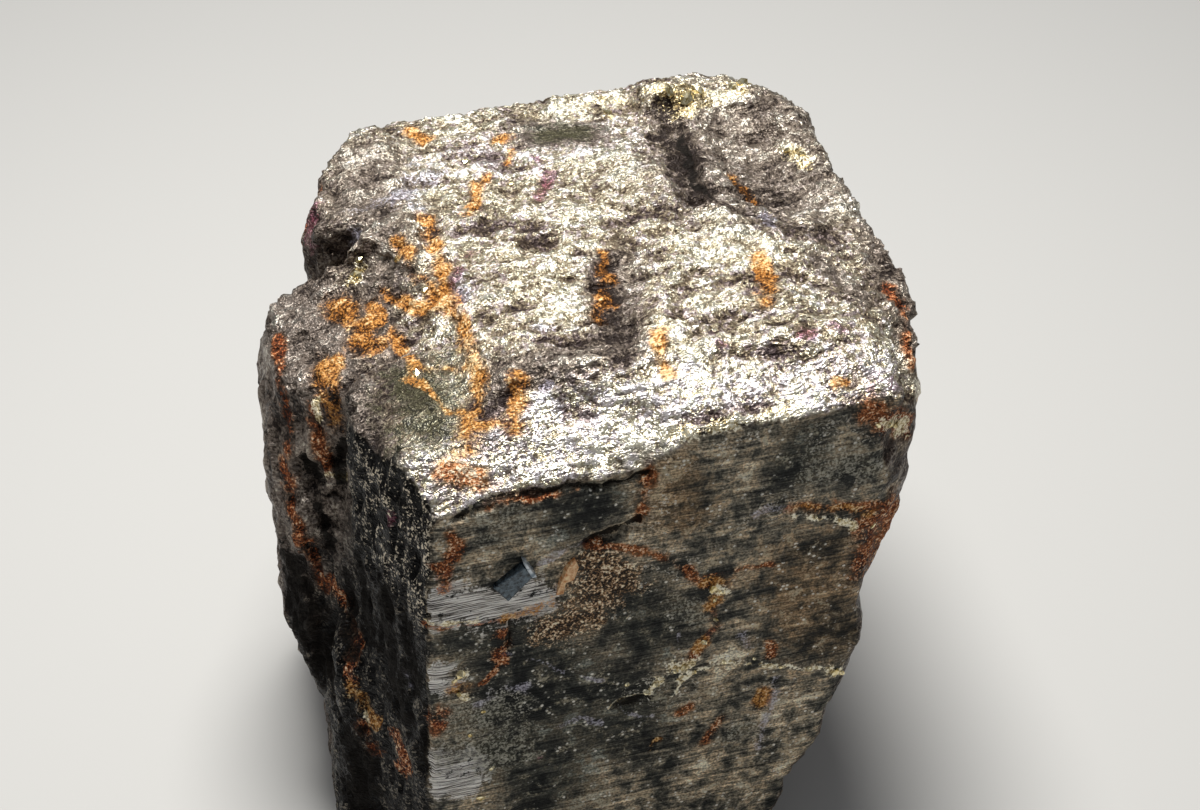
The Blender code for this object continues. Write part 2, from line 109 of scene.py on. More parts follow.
# Marks on the stone: each is a stroke through a few places, with its reach in mm. A place with two numbers
# lies on the front face, at its x and z.
marks = {
    "ochre": {  # yellow-orange iron rust in the crown's cracks
        "long crack": (1.17, [(-32, 70, 2), (-32, 63, 3), (-32, 56, 4), (-34, 47, 4)]),
        "crack below": (1.4, [(-34, 47, 4), (-34, 38, 5), (-34.5, 32, 6), (-34.5, 26, 7), (-35.5, 20, 7),
            (-36, 15, 4)]),
        "crack foot": (1.4, [(-37, 16, 2), (-37.5, 12, 1), (-38, 8.5, 0)]),
        "foot branch": (1.01, [(-36, 12, 2), (-32, 11, 2), (-28, 9, 2)]),
        "brow tongue": (1.33, [(-26, 17, 5), (-27.5, 14, 4), (-29, 11.5, 2.5), (-29, 9, 1.5)]),
        "loop": (1.01, [(-44, 57, -2), (-42, 53, -1), (-40, 46, 3), (-37, 44, 5), (-36, 49, 5),
            (-38, 55, 2)]),
        "shoulder": (2.26, [(-52, 58, -5), (-50, 53, -5), (-49, 47, -4), (-48, 44, -4)]),
        "shoulder right": (1.17, [(-46, 54, -4), (-46, 48, -4)]),
        "slab upper": (1.64, [(-58, 46, -8), (-57, 42, -9), (-57.5, 37, -11)]),
        "slab mid": (1.4, [(-55, 43, -7), (-56, 39, -9), (-58, 36, -15)]),
        "fork": (0.94, [(-44, 46, -3), (-43, 40, -3), (-43, 34, 0), (-42, 30, 0)]),
        "fork right": (0.78, [(-42, 30, 0), (-40, 28, 3), (-38, 25, 7)]),
        "fork left": (0.86, [(-44, 28, 0), (-42, 26, 0)]),
        "hair": (0.55, [(-42, 25, 0), (-41, 23, 0), (-40, 20, 0), (-39, 17, 0)]),
        "middle": (1.4, [(-4, 40, 6), (-6, 36, 6), (-6.5, 33, 6), (-8.5, 29, 6)]),
        "middle right": (1.01, [(0, 20, 8), (-1, 16, 8), (-2, 13.5, 7), (-1, 11, 6)]),
        "right drop": (1.3, [(24, 38, 6), (24, 32, 7), (23, 28, 7), (22, 24, 8)]),
        "right fleck": (0.94, [(30, 71, 0), (31, 66, 0), (32, 63, 0)]),
        "right dot": (0.78, [(28, 4, 3), (30, 4, 3)]),
        "back dot": (1.01, [(-13, 94, 1), (-10.5, 95, 1)]),
        "back corner": (1.4, [(-28, 104, -1), (-26.5, 99, 0)]),
        "back drop": (0.8, [(-10.2, 90.5, 1), (-12, 86, 1)]),
        "beside crack": (1.1, [(-38.3, 63.5, 3), (-37.3, 57.2, 3)]),
        "middle up": (0.8, [(-2.3, 49, 5), (-4.5, 42, 6)]),
        "upper chain": (1.01, [(-20, 79, 2), (-21, 74, 2), (-24, 68, 3)]),
        "upper chain right": (0.94, [(-17, 81, 2), (-20, 77, 2)]),
        "right seam glow": (0.7, [(21, -22.4), (26, -23.8), (31, -25), (35.5, -27.5)]),
        "face seam": (1.0, [(-33.6, -36.2), (-31.5, -35.6), (-28, -34.8), (-25.5, -34.2)]),
        "face vein head": (1.3, [(4.4, -37), (6, -37.4), (7.8, -38)]),
        "face vein neck": (1.1, [(6, -41), (5.6, -44.5)]),
        "face vein bend": (1.0, [(4.4, -53), (3.2, -55)]),
        "face spot": (1.1, [(17, -71.4), (16.5, -75)]),
        "face corner": (1.3, [(-44.2, -52.8), (-42.4, -54)]),
        "yellow tick": (0.55, [(-5.8, -81.6), (-5.4, -79.5), (-4.2, -79.4)]),
        "left foot": (1.8, [(-60.5, 20.5, -71), (-59.5, 19, -75), (-58, 17.5, -77)]),
    },
    "rust": {  # duller red-brown rust
        "brow line": (0.75, [(-36, -7.4), (-31, -7), (-26, -7), (-20.5, -7.3)]),
        "brow left": (1.6, [(-42, 5, -2), (-39, 4, -3), (-36, 3, -3)]),
        "panel side": (0.8, [(-7.7, -7), (-8.1, -11.7), (-8.3, -15.3), (-8.6, -18)]),
        "seam": (0.8, [(-18, -22), (-14, -22.8), (-9.8, -25.2), (-5, -27.8), (-1.4, -31), (1.5, -35),
            (4, -38)]),
        "corner": (1.1, [(-42.8, -12.9), (-42, -16), (-43.4, -18)]),
        "corner block": (1.0, [(-46.5, -19.8), (-44.3, -22), (-44.5, -26)]),
        "level line": (0.5, [(-49, -34.8), (-44, -35.5), (-40, -35.8), (-34, -36.6)]),
        "step": (1.1, [(-34.8, -40), (-34.8, -43.5), (-36, -45.6), (-35, -47.5)]),
        "step hair": (0.4, [(-34.9, -47.4), (-36.1, -50), (-37.8, -52.2), (-41, -53.7)]),
        "left edge": (1.4, [(-47, -57.8), (-48.6, -59.5), (-48, -62.4), (-49.6, -64)]),
        "vein": (0.75, [(5.5, -44), (6.2, -47), (6.5, -49), (5.7, -51.2), (3.1, -55.6), (0, -58.4)]),
        "right seam": (1.1, [(19.7, -21.8), (25.8, -23.6), (30, -24.6), (36, -26), (40, 2, -28)]),
        "right corner": (2.2, [(35.5, -30), (37, 1, -34), (36.5, -39), (36.5, -42)]),
        "right lump": (3.0, [(40, 4, -30), (41, 5, -36), (39, 4, -42)]),
        "low right seam": (0.45, [(4, -35.4), (8.8, -35.3), (12, -35), (17, -36)]),
        "brown patch left": (0.7, [(-7, -6), (-6.5, -10)]),
        "low streak": (1.0, [(8.6, -77), (7, -79.4), (5.2, -82.6)]),
        "low tongue": (0.9, [(-0.1, -72.4), (1.9, -71.2)]),
        "mid drop": (0.75, [(17, -56.7), (18, -59.3), (17.7, -61.4)]),
        "rim band": (2.4, [(34, 2, -2), (37, 2, -5), (41, 4, -9), (43, 6, -11)]),
        "rim": (0.9, [(46, 28, 2), (46.5, 22, 1), (45.5, 15, -1), (45, 11, -3)]),
        "slab rim": (1.3, [(-66, 44, -30), (-67, 41, -38), (-66, 38, -43), (-64, 38.5, -52), (-62, 37, -58)]),
        "slab rim right": (1.5, [(-61, 35, -55), (-59.5, 31, -59), (-59, 25, -64), (-60, 22, -69)]),
        "slab stripe": (1.0, [(-64, 57, -10), (-64, 51, -12), (-65, 45, -16), (-66, 43, -26)]),
        "slab inner": (1.3, [(-60, 39, -14), (-60, 38, -20), (-59.5, 37, -27)]),
        "left low": (1.6, [(-54.5, 10, -74), (-53.5, 7, -77), (-54, 8, -82)]),
        "left foot low": (1.8, [(-60, 19, -81), (-58.5, 17, -85)]),
        "left shoulder back": (2.5, [(-52, 84, -8), (-50, 90, -6)]),
        "right side": (3.6, [(48, 62, -18), (50, 70, -34), (48, 84, -48)]),
        "back side": (4.0, [(18, 106, -20), (8, 107, -36), (-14, 106, -46)]),
        "back low": (3.0, [(-30, 98, -70), (-34, 92, -86)]),
        "right low": (3.2, [(40, 34, -80), (36, 46, -96)]),
    },
    "blood": {  # small deep red and purple tarnish
        "back red": (0.9, [(-7, 86.5, 1), (-4, 83, 2)]),
        "back purple": (1.4, [(-5.5, 79, 2), (-8.5, 73, 2)]),
        "crack red": (1.1, [(-26.5, 55.5, 4), (-28.5, 54, 4)]),
        "crack purple": (1.5, [(-29.5, 52, 4), (-32, 48.5, 4)]),
        "right red": (0.9, [(10, 14, 8), (14, 13, 7.5)]),
        "right purple": (1.5, [(24, 13, 8), (25.5, 13, 8)]),
        "right purple low": (1.6, [(30.5, 13.5, 7), (32, 12, 6)]),
        "rim purple": (1.9, [(35, 2, 2), (36.5, 3, 0)]),
        "red dot": (0.55, [(-28.4, -77.5), (-28.2, -77.3)]),
        "left red": (2.2, [(-54, 84, -2), (-55, 76, -4)]),
        "corner red": (0.9, [(-48.4, -59), (-47.6, -62)]),
        "side red": (0.8, [(-50, 12, -16), (-50, 13, -18)]),
    },
    "lilac": {  # pale bluish coats
        "crack": (1.9, [(-31, 47, 4), (-32, 42.5, 5), (-33, 39, 5)]),
        "back": (3.4, [(-27, 88, 1), (-31, 83, 1), (-34, 77, 2)]),
        "back left": (2.2, [(-40, 77, -1), (-42, 71, -2)]),
        "right": (1.4, [(32, 56, 2), (30.5, 49, 5)]),
        "brow": (1.6, [(-22, 14, 4), (-20.5, 11, 4), (-21.5, 9, 3)]),
        "hollow": (1.5, [(-20, 30, 6), (-17.5, 29, 6)]),
        "vein": (0.75, [(6.2, -46.5), (6.5, -49.5), (5, -52.6)]),
        "low streak": (0.9, [(19.2, -69), (19, -73), (18.2, -79), (16.9, -82.5), (16.6, -88)]),
        "seam": (0.9, [(12.9, -22), (15.7, -21.2), (19.5, -22)]),
        "grey grains": (1.5, [(-39.8, -57.6), (-37, -56.2), (-34, -55.4), (-31.2, -55.6)]),
        "arc": (0.55, [(-25.7, -70), (-22.7, -68.6), (-19.7, -68.2), (-16, -71.4)]),
        "arc low": (0.45, [(-12.4, -68.3), (-9.4, -70.6), (-4, -73.4)]),
        "panel foot": (0.4, [(-34.5, -45.5), (-26.3, -50.6), (-22.9, -54.6), (-15.8, -58.6)]),
        "pale line": (0.4, [(-0.7, -47), (-0.9, -54.5)]),
        "spark line": (0.9, [(-18.5, -21.4), (-22.3, -21.2), (-24.8, -22.4), (-27, -23.6)]),
        "low grains": (1.2, [(11.5, -54), (13, -57)]),
        "side line": (0.6, [(-53, 9, -53), (-52.5, 7, -55.5), (-52, 6, -57.5)]),
    },
    "bright": {  # fresh metallic sulphide
        "long bed": (0.6, [(-1, -62.6), (2.4, -61), (4.8, -60.5), (8.2, -60.1), (11, -61.2)]),
        "long bed right": (0.65, [(13, -62), (16, -63.2), (20, -64.9), (25.8, -66.9), (31, -69)]),
        "bed end": (1.3, [(30.5, -69), (32.3, -70.2)]),
        "bed drop": (0.9, [(-4.2, -61.8), (-5.4, -63), (-7.1, -64.4)]),
        "bed fork": (0.45, [(0.9, -62.3), (-0.4, -63.6), (-0.9, -66), (-2.2, -67.2)]),
        "cavity lip": (0.45, [(-14.3, -66.3), (-12, -66.4), (-10.6, -64.9), (-7.8, -65)]),
        "vein foot": (1.4, [(1.6, -58.4), (-1.4, -59.2)]),
        "vein head": (1.0, [(5.2, -39.4), (7.6, -40.6)]),
        "seam dashes": (0.7, [(20, -24.2), (25.6, -26), (28.8, -26.6), (32.4, -30)]),
        "corner dash": (0.9, [(-43.4, -48.8), (-41.8, -49)]),
        "corner low": (1.0, [(-43, -55), (-41.5, -55.6)]),
        "edge strip": (1.2, [(-10, 4, -1.5), (-4, 1.5, 0.6), (1, 1, 1), (8, 1, 1.2), (16, 1, 1.2),
            (20, 1, 1)]),
        "edge right": (1.4, [(36, 1, -5), (40, 4, -9), (42, 6, -12)]),
        "crown back": (3.6, [(23, 98, 5), (27, 94, 4), (31, 96, 3)]),
        "crown back right": (2.0, [(34, 95, 3), (39, 95, 3)]),
        "crown edge": (1.5, [(3.5, 104, 0), (10, 104, 0), (15.6, 102, 0)]),
        "crown pimple": (2.2, [(38, 98, 1), (41, 97, 1)]),
        "bowl spot": (1.8, [(44, 78, -1), (45.5, 72, 0)]),
        "shoulder glint": (1.2, [(-48, 63, -4), (-45.5, 65, -3)]),
        "slab glint": (1.1, [(-59, 36, -28), (-56.5, 35.5, -28)]),
        "slab glint up": (0.9, [(-60, 39, -12), (-59, 39, -16)]),
        "left foot glint": (0.8, [(-59, 19, -77.5), (-58.8, 18.6, -78.5)]),
        "strip edge": (0.5, [(-49.3, -33.4), (-44, -34.4), (-39, -35)]),
    },
    "paintedHighlight": {  # painted highlight: the brow along the top of the front and the crown's back, lighter and turned violet-grey
        "brow left": (7.5, [(-42, 4, -5), (-36, 5, -3), (-28, 6, -1)]),
        "back": (7.0, [(-16, 88, 1), (-6, 89, 2), (8, 90, 2)]),
        "brow": (8.5, [(-28, 7, 0), (-20, 7, 1), (-12, 7, 2)]),
        "brow right": (7.0, [(-12, 6, 2), (-4, 6, 3), (4, 5, 4), (14, 4, 4), (22, 3, 4), (33, 4, 3)]),
    },
    "dull": {  # brownish crust with little metal; in the grooves, recess, valley and under the brow its darkening is painted shade
        "bowl": (17, [(34, 72, 0), (38, 66, 0)]),
        "bowl back": (12, [(34, 86, -1), (42, 86, -3)]),
        "groove": (4.5, [(23, 92, 0), (22, 78, 1), (23, 62, 3)]),
        "recess": (4.5, [(-6, 95, 0), (2, 93, 1), (6, 92, 0)]),
        "valley": (4.5, [(-2, 44, 5), (-5, 31, 5), (-7, 23, 6)]),
        "under brow": (4.0, [(-30, 18, 6), (-22, 18, 7), (-14, 18, 7), (-6, 18, 8)]),
        "left crown": (8.0, [(-42, 62, -1), (-43, 80, -2), (-40, 92, -1)]),
        "left back": (7.0, [(-52, 90, -5), (-50, 76, -6)]),
        "shoulder": (3.5, [(-46, 58, -3), (-46, 44, -3), (-45, 34, -1), (-44, 24, 0)]),
        "rim": (4.5, [(48, 50, -2), (48, 30, 0), (47, 14, -2)]),
        "right streak": (2.4, [(36, 36, 5), (40, 24, 4)]),
    },
    "shade": {  # dark streaks and hollows of the crown
        "valley": (2.6, [(-4, 44, 5), (-6, 34, 5), (-7.5, 24, 6), (-8, 17, 8)]),
        "valley arm": (1.6, [(-8, 24, 6), (-14, 23, 6), (-20, 26, 6)]),
        "groove": (3.2, [(23.5, 90, 0), (22, 76, 1), (20, 62, 3)]),
        "groove foot": (1.8, [(20, 62, 3), (24, 57, 4), (30, 54, 4)]),
        "bowl floor": (3.6, [(30, 66, 0), (38, 62, 0)]),
        "recess": (3.2, [(-6, 92, 0), (4, 91, 1)]),
        "right streak": (1.6, [(16, 33, 7), (23, 32, 7), (30, 31, 6)]),
        "right streak low": (1.3, [(4, 24, 8), (12, 22, 8), (19, 22, 8)]),
        "upper streak": (1.5, [(2, 58, 6), (9, 59, 6), (15, 57, 6)]),
        "upper streak left": (1.5, [(-26, 63, 4), (-18, 64, 4), (-12, 62, 4)]),
        "left streak": (1.5, [(-28, 36, 5), (-22, 37, 5), (-17, 35, 5)]),
        "left streak up": (1.2, [(-27, 46, 4), (-21, 47, 4)]),
        "brow pocket": (1.5, [(-19, 9, 3), (-15, 9, 3)]),
        "right pocket": (2.2, [(34, 46, 4), (41, 44, 2)]),
        "far pocket": (2.4, [(-12, 84, 3), (-16, 88, 3)]),
        "edge line": (0.8, [(-0.5, 2.5, 2), (9, 2.2, 2.4), (15, 2.2, 2.4)]),
        "crown line": (0.9, [(14, 12, 7), (18, 11.5, 7), (23, 11, 7)]),
        "pit": (1.1, [(-12, 27.5, 6), (-9.5, 27, 6)]),
        "pit right": (1.2, [(4, 17.5, 8), (9, 18, 8)]),
        "rim line": (1.0, [(-34, 13, 4), (-26, 15.5, 5), (-19, 14, 5), (-11, 14.5, 7), (-5, 14.5, 8)]),
    },
    "smooth": {  # smooth olive facets
        "olive": (6.5, [(-43, 26, 0), (-42, 16, -1)]),
        "back": (3.5, [(-2, 95, 0), (4, 93, 0)]),
    },
    "coppery": {  # granular patch with a copper glint
        "upper": (3.8, [(-18, -26), (-13, -30)]),
        "middle": (5.0, [(-19, -35), (-15, -32)]),
        "lower": (3.6, [(-25, -41.5), (-20, -41)]),
    },
    "striped": {  # level strips, painted pale as a sheen
        "upper": (4.2, [(-47, -29.5), (-40, -31), (-33, -33)]),
        "upper right": (2.4, [(-34, -33), (-27, -33.6)]),
        "middle": (3.2, [(-50, -50), (-47, -50.5)]),
        "low": (3.4, [(-48.5, -73), (-43, -75)]),
        "lowest": (3.0, [(-48, -79), (-43, -81)]),
    },
    "scaly": {  # grey scaly coat
        "upper": (6.0, [(-44, -62), (-39, -62)]),
        "lower": (6.0, [(-42, -70), (-37, -72)]),
        "panel": (3.0, [(-35.5, -10.5), (-32, -11)]),
        "panel low": (1.8, [(-36.5, -15), (-34.5, -15.5)]),
        "blotch": (3.0, [(0.2, -43), (1.8, -45)]),
        "right": (3.0, [(24, -11), (25, -15)]),
        "right far": (3.4, [(30, -14), (34, -15)]),
        "low right": (2.2, [(11.5, -82.6), (13.4, -82)]),
    },
    "cool": {  # blackish cleavage
        "low left": (9.0, [(-30, -48), (-24, -58), (-14, -72)]),
        "foot left": (7.0, [(-30, -72), (-26, -84)]),
        "panel right": (3.6, [(-16, -11), (-22, -15)]),
        "under strips": (3.5, [(-42, -39), (-36, -40)]),
        "middle": (5.0, [(-10, -40), (-6, -50)]),
        "upper right": (3.0, [(19, -12), (22, -5)]),
    },
    "warm": {  # brownish cleavage
        "upper": (4.0, [(-3, -9), (-1, -17)]),
        "right": (8.0, [(26, -40), (30, -56)]),
    },
    "webbed": {  # thin pale threads
        "panel side": (3.0, [(-4.5, -8), (-5.5, -14), (-9, -19)]),
        "seam": (2.6, [(-14, -25), (-8, -27), (0, -32)]),
        "upper edge": (2.0, [(-4, -5), (4, -4), (12, -2)]),
        "right edge": (2.4, [(24, -4), (33, -6)]),
        "right seam": (2.2, [(12, -23), (20, -21)]),
        "low left": (3.6, [(-40, -58), (-34, -60)]),
        "low middle": (3.2, [(-8, -64), (0, -68)]),
        "low right": (3.0, [(19, -72), (17, -84)]),
        "corner": (2.6, [(-46, -12), (-46, -22)]),
    },
    "dark": {  # open cracks, and painted shade: the groove and the shadowed blades, gaps, slits and blots of the left side and the slab
        "brow crack": (0.6, [(-42, -9.2), (-39, -7.6), (-34, -6.5), (-27, -6.2), (-20, -6.4), (-17, -8.2)]),
        "edge": (0.5, [(-15.3, -8.3), (-13, -7.6), (-9.9, -7.4), (-6.8, -6.4)]),
        "panel crack": (0.75, [(-8.6, -18.1), (-11.7, -19.6), (-14.4, -20.5), (-18.3, -21.1)]),
        "step": (0.4, [(-32.9, -37.7), (-33.4, -41), (-33.6, -44)]),
        "cavity": (1.3, [(-11.6, -66.9), (-8.6, -66.6)]),
        # painted shade in the groove
        "groove": (0.7, [(23.5, 86, 0), (22.5, 78, 1), (21.5, 69, 2), (22.5, 64, 3)]),
        # painted shade: the blades, gaps and slits below stand in shadow on the left side and the slab
        "slab blade": (5.0, [(-68, 42, -56), (-67.5, 39, -66), (-64.5, 33, -76)]),
        "side blade": (4.4, [(-54.5, 14, -40), (-55, 15, -50), (-53.5, 12, -58), (-53, 9, -66)]),
        "side blade left": (3.2, [(-57.5, 24, -38), (-58, 25, -47), (-57.5, 22, -56)]),
        "side blade right": (2.4, [(-51.9, 8.7, -41), (-51.1, 5.5, -49), (-51, 4, -57)]),
        "slab oval": (1.7, [(-61.5, 41, -27), (-61, 39.5, -31)]),
        "slab slit": (1.1, [(-61.8, 37, -35.7), (-61, 36.2, -41.8), (-60.6, 35.5, -46.7)]),
        "gap": (1.2, [(-56, 34.4, -19), (-57.2, 36, -24), (-57.2, 36.5, -30)]),
        "gap low": (1.8, [(-58.8, 31, -50), (-58.8, 29.5, -60), (-59.9, 24, -65)]),
        "foot slit": (1.1, [(-50.9, 1.5, -65), (-50.8, 0.8, -70), (-50.9, 1.2, -76)]),
        "foot blade": (4.6, [(-62.3, 20, -85), (-61, 18.5, -93), (-62, 19, -103)]),
    },
}
# mm that a mark is cut in, or raised where it is below nought
carvedMarks = {"dark": 0.9, "shade": 0.8, "bright": -0.3, "ochre": 0.2, "striped": -0.3}

stone = {
    "node": "meteorite",
    "net": 1.34,  # mm, the even net
    "soften": 2,  # passes that round the solid's facets off
    "fineUp": 0.35,  # faces that lean up more than this get a net twice as fine
    "fineForwards": 0.86,  # and so do those that lean forwards more than this
    "wander": (2.4, 0.22),  # mm and share: how the edges of the zones wander
    "warp": (2.2, 0.7),  # mm: how marks wander from their strokes
    "patches": (4.5, 0.6),  # mm and share: how stains come and go along a stroke
    "markEdge": (0.35, 0.65),  # nearness at which a mark starts and is carved whole
    "offFront": 0.7,  # how deep marks go on the crown and the left side, against the front
    "foot": (0.3, 4.0),  # mm above the floor over which the relief fades in
    "shine": 0.6,  # painted light and shade: how much lighter raised relief and darker its hollows are painted, per mm
    "slabCrust": (0.85, 30.0),  # how much crust the slab's outer face wears, and mm that its edge wanders
    "glitter": 0.3,  # how many grains glint away from the left side's corner
}
# the layers of relief: sizes and heights in mm
relief = {
    "lumps": {"size": 1.5, "height": 0.55, "steep": 1.5, "level": 0.4},  # the crown's crust
    "leaves": {"size": (9.0, 2.8, 2.8 * 1.3), "height": 0.7, "sharp": 2.2, "level": 0.4,
               "front": 0.35, "back": 0.6},
    "waves": {"size": 4.2, "crown": 0.8, "side": 0.3},
    "ribs": {"size": (2.2, 2.2, 14.0), "height": 0.8, "sharp": 2.2, "level": 0.5},  # splinters on the left
    "rubble": {"size": 5.5, "height": 0.9, "nearFront": 0.35},  # the broken back and right side
    "facets": {"size": 5.0, "tip": 3.2, "side": 0.22},  # small fracture faces
    "grit": {"level": 0.3, "side": 0.25, "rubble": 0.3, "front": 0.22},
    "beds": {"size": (30.0, 30.0, 1.5), "height": 0.10, "tilt": -0.10},  # fine beds on the front
    "swells": {"size": (9.0, 9.0, 6.0), "height": 0.22},
    "smooth": {"keep": 0.8, "edge": (0.4, 0.7)},
}
# where each zone fades in: by how far it leans, or by its place in mm
zoneEdges = {
    "crownLean": (0.35, 0.70), "crownUp": (-42.0, -26.0),
    "stepUp": (-13.0, -8.0), "stepAcross": (-47.0, -43.0), "stepBack": (1.5, 4.0), "stepLean": (0.9, 0.6),
    "frontLean": (0.78, 0.95), "frontNear": (-6.0, -3.0), "frontWhole": (-3.0, -1.0), "grit": (0.3, 0.6),
    "leftLean": (0.30, 0.60), "leavesFront": (12.0, 24.0), "leavesBack": (60.0, 75.0),
    "slab": (46.0, 53.0), "slabFront": (27.0, 35.0), "slabBack": (78.0, 72.0), "slabUp": (-66.0, -30.0),
    "glitterNear": (-34.0, -6.0), "glitterUp": (-44.0, -22.0), "sideNear": (-46.0, -24.0),
    "rubbleFront": (4.0, 24.0),
}


def fade(value, edge):
    return ease(value, *zoneEdges[edge])


def copyOfNode(name):
    net = bmesh.new()
    net.from_mesh(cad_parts[name].data)
    bmesh.ops.remove_doubles(net, verts=net.verts, dist=1e-6)
    return meshFrom("stoneSurface", net)


def evenNet(mesh, size):
    holder = bpy.data.objects.new("netHolder", mesh)
    scene.collection.objects.link(holder)
    net = holder.modifiers.new("evenNet", "REMESH")
    net.mode = "VOXEL"
    net.voxel_size = size
    made = bpy.data.meshes.new_from_object(holder.evaluated_get(bpy.context.evaluated_depsgraph_get()))
    bpy.data.objects.remove(holder)
    return made


def softenAndRefine(mesh):
    net = bmesh.new()
    net.from_mesh(mesh)
    for _ in range(stone["soften"]):
        bmesh.ops.smooth_vert(net, verts=net.verts, factor=0.5, use_axis_x=True, use_axis_y=True,
                              use_axis_z=True)
    net.normal_update()
    fine = [f for f in net.faces if f.normal.z > stone["fineUp"] or f.normal.y < -stone["fineForwards"]]
    edges = list({e for f in fine for e in f.edges})
    bmesh.ops.subdivide_edges(net, edges=edges, cuts=1, use_grid_fill=True, smooth=0.0)
    bmesh.ops.triangulate(net, faces=[f for f in net.faces if len(f.verts) > 4])
    net.to_mesh(mesh)
    net.free()


def meshPlaces(mesh):
    places = np.empty(len(mesh.vertices) * 3)
    mesh.vertices.foreach_get("co", places)
    outward = np.empty(len(mesh.vertices) * 3)
    mesh.vertex_normals.foreach_get("vector", outward)
    return places.reshape(-1, 3), outward.reshape(-1, 3)


def noiseField(places, size, octaves=1):
    # a softness of 0.9, and each octave twice as fine as the last
    return np.array([noise.fractal(Vector(p), 0.9, 2.0, octaves) for p in places / np.array(size)])


def lumpField(places, size):
    # nought between the lumps, and highest at their middles
    near = [noise.voronoi(Vector(p))[0] for p in places / size]
    return np.array([d[1] - d[0] for d in near])


def facetField(places, size):
    # each little fracture face is a plane that leans its own way
    scaled = places / size
    middle = [noise.voronoi(Vector(p))[1][0] for p in scaled]
    # each takes a cell of its own, far from its neighbour's
    lean = np.array([noise.cell_vector(9.0 * m) for m in middle]) - 0.5
    return np.einsum("ij,ij->i", scaled - np.array(middle), lean)


def laidOn(surfaceTree, points):
    places = [point if len(point) == 3 else (point[0], 0.0, point[1]) for point in points]
    laid = [surfaceTree.find_nearest(Vector(place) * mm + frontEdge * mm)[0] for place in places]
    return [np.array(place / mm - frontEdge) for place in laid]


def strokeNearness(block, reach, points):
    best = np.full(len(block), 1e9)
    for start, end in zip(points, points[1:]):
        along = end - start
        part = np.clip((block - start) @ along / (along @ along + 1e-9), 0.0, 1.0)
        best = np.minimum(best, np.linalg.norm(block - start - part[:, None] * along, axis=1))
    # 1 on the stroke, two thirds at its reach, 0 at three times that
    return np.clip(1.0 - best / (3.0 * reach), 0.0, 1.0)


def zones(block, outward, wander):
    up = fade(outward[:, 2] + wander, "crownLean") * fade(block[:, 2], "crownUp")
    # the steps at the crown's left and in the brow wear the crown's crust too
    step = fade(block[:, 2], "stepUp") * fade(block[:, 0], "stepAcross")
    step *= fade(block[:, 1], "stepBack")
    up = np.maximum(up, step * fade(-outward[:, 1], "stepLean"))
    front = fade(-outward[:, 1] + 0.5 * wander, "frontLean") * (1.0 - up)
    front *= fade(-block[:, 1], "frontNear")
    left = fade(-outward[:, 0], "leftLean") * (1.0 - up) * (1.0 - front)
    return up, front, left, np.clip(1.0 - up - front - left, 0.0, 1.0)


def markMasks(mesh, block):
    size, reach = stone["warp"]
    bent = block + reach * np.array([noise.noise_vector(Vector(p)) for p in block / size])
    surfaceTree = BVHTree.FromPolygons([v.co for v in mesh.vertices], [f.vertices for f in mesh.polygons])
    masks = {kind: np.max([strokeNearness(bent, reach, laidOn(surfaceTree, points))
                           for reach, points in strokes.values()], axis=0) for kind, strokes in marks.items()}
    size, change = stone["patches"]
    patchy = 1.0 + change * noiseField(block, size)
    for kind in ("ochre", "rust", "blood", "lilac"):
        masks[kind] = np.clip(masks[kind] * patchy, 0.0, 1.0)
    return masks


def zoneRelief(block, masks):
    # how far each zone's surface is moved out, in mm
    bumps, leaves, waves, ribs, rubble, facets, grit, beds, swells, smooth = relief.values()
    bump = lumpField(block, bumps["size"])
    grain = bump - grit["level"]
    wave = noiseField(block, waves["size"], 3)
    facet = facets["tip"] * facetField(block, facets["size"])

    leaf = 1.0 - leaves["sharp"] * np.abs(noiseField(block, leaves["size"], 2))
    whole = leaves["front"] + (1.0 - leaves["front"]) * fade(block[:, 1], "leavesFront") * (
        1.0 - leaves["back"] * fade(block[:, 1], "leavesBack"))
    crown = bumps["height"] * (bumps["steep"] * bump - bumps["level"])
    crown += leaves["height"] * (leaf - leaves["level"]) * whole
    crown += waves["crown"] * wave
    crown *= 1.0 - smooth["keep"] * ease(masks["smooth"], *smooth["edge"])

    rib = 1.0 - ribs["sharp"] * np.abs(noiseField(block, ribs["size"], 2))
    side = ribs["height"] * (rib - ribs["level"]) + waves["side"] * wave
    side += grit["side"] * grain
    side += facets["side"] * facet

    broken = rubble["height"] * noiseField(block, rubble["size"], 4)
    broken += grit["rubble"] * grain
    broken += facet
    broken *= rubble["nearFront"] + (1.0 - rubble["nearFront"]) * fade(block[:, 1], "rubbleFront")

    tilted = block + np.outer(block[:, 0], (0.0, 0.0, beds["tilt"]))
    cleaved = beds["height"] * noiseField(tilted, beds["size"], 2)
    cleaved += swells["height"] * noiseField(block, swells["size"], 3)
    cleaved += grit["front"] * grain * fade(np.maximum(masks["coppery"], masks["scaly"]), "grit")
    return crown, side, broken, cleaved


